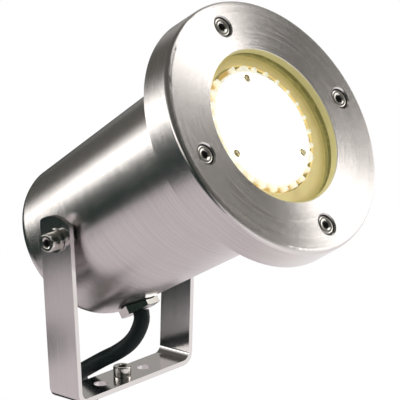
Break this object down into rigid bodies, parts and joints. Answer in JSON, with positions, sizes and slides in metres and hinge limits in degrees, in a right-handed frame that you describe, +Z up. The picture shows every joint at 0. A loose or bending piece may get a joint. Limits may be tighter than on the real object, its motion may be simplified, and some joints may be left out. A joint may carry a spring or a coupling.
{
  "type": "underwater pond light",
  "caption": "Stainless underwater spotlight: tapered can with a thick front ring and lamp behind glass, tilting in a U bracket, with a rubber cable.",
  "frame": {"origin": "centre of the underside of the bracket's base, midway between its two mounting holes", "axes": "+Z up off the mounting surface, +X along the tilt axis, the beam leaves toward -Y tilted up 33 degrees"},
  "size_m": [0.1, 0.2541, 0.2109],
  "materials": {
    "brushed": "circumferential satin brushing",
    "plain_steel": "satin",
    "polished": "bright turned steel",
    "silicone": "olive silicone",
    "black_rubber": "matt black",
    "window": "clear polished",
    "gold_plate": "pale gold, satin",
    "fins": "matt cast",
    "white_plastic": "satin white",
    "ceramic": "glazed ceramic",
    "phosphor": "yellow phosphor",
    "dark_screw": "dark",
    "brown_core": "satin",
    "tie_black": "satin"
  },
  "bodies": {
    "base": {"bracket": "brushed", "base_screw": "polished", "cable": "black_rubber", "cable_coil": "black_rubber", "cable_tie": "tie_black", "cable_cores": "brown_core", "cable_ferrules": "polished"},
    "head": {"pivot_screws": "polished", "pivot_washers": "polished", "friction_washers": "black_rubber", "pivot_bosses": "plain_steel", "can": "brushed", "flange": "plain_steel", "front_ring": "brushed", "face_screws": "polished", "front_gasket": "silicone", "glass": "window", "rear_gasket": "silicone", "lamp_plate": "gold_plate", "lamp_heat_sink": "fins", "lamp_cover": "white_plastic", "lamp_board": "white_plastic", "lamp_chips": "phosphor", "lamp_screws": "dark_screw", "lamp_base": "white_plastic", "lamp_pins": "polished", "lampholder": "ceramic", "holder_strap": "plain_steel", "strap_screws": "polished", "terminal_block": "white_plastic", "terminal_screws": "polished", "lamp_leads": "white_plastic", "cable_core_leads": "brown_core", "gland_body": "polished", "gland_washer": "black_rubber", "gland_press_ring": "polished", "gland_seal": "black_rubber", "gland_inner_washer": "black_rubber", "gland_locknut": "polished", "cable_inside": "black_rubber"}
  },
  "joints": [
    {"name": "head_tilt", "type": "hinge", "parent": "base", "child": "head", "pos_m": [0, 0, 0.065], "axis": [1, 0, 0], "range_deg": [-57, 41], "deforming": ["cable"]}
  ]
}
